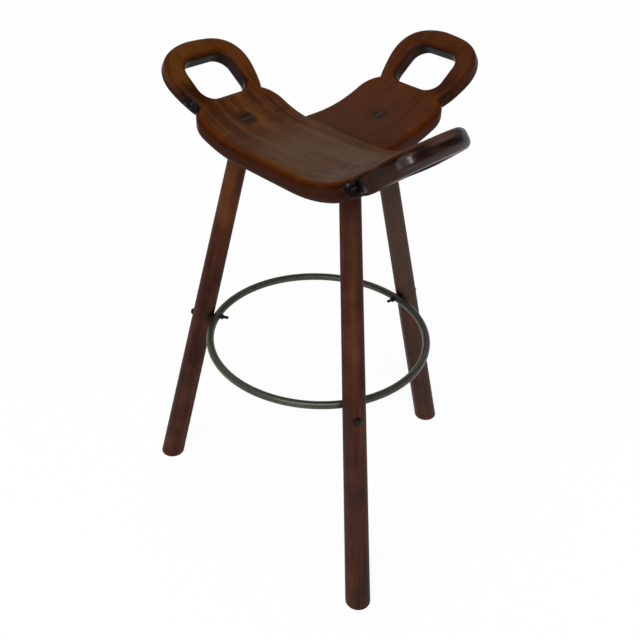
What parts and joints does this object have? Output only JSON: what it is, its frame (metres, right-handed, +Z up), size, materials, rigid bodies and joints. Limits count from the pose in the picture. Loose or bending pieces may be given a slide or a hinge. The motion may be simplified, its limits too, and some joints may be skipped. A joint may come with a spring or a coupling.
{
  "type": "bar stool",
  "caption": "Backless bar stool: a bent wooden T-shaped seat whose ends rise into loop handles, splayed tapered legs with wedged through tenons, and a round iron footrest ring.",
  "frame": {"origin": "on the floor, between the three feet, below the line on which the seat plank is centred", "axes": "+Z up; the seat plank runs along X with a handle at each end; +Y is the way the wing and its handle point"},
  "size_m": [0.5093, 0.4824, 0.756],
  "materials": {
    "plank_wood": "stained reddish brown, glossy varnish, worn to orange brown on the edges",
    "wing_wood": "stained reddish brown, glossy varnish, worn to orange brown on the edges",
    "dowel_wood": "plain beech",
    "leg_wood": "dark red brown stain, satin varnish",
    "wedge_wood": "stained, varnished over with the seat",
    "ring_iron": "dark greenish grey, bare and rubbed",
    "bolt_steel": "blackened"
  },
  "bodies": {
    "root": {"seat_plank": "plank_wood", "seat_wing": "wing_wood", "seam_dowel_left": "dowel_wood", "seam_dowel_right": "dowel_wood", "leg_back": "leg_wood", "leg_left": "leg_wood", "leg_right": "leg_wood", "tenon_wedge_back": "wedge_wood", "tenon_wedge_left": "wedge_wood", "tenon_wedge_right": "wedge_wood", "footrest_ring": "ring_iron", "ring_bolt_back": "bolt_steel", "ring_bolt_left": "bolt_steel", "ring_bolt_right": "bolt_steel", "ring_nut_back": "bolt_steel", "ring_nut_left": "bolt_steel", "ring_nut_right": "bolt_steel"}
  },
  "joints": []
}
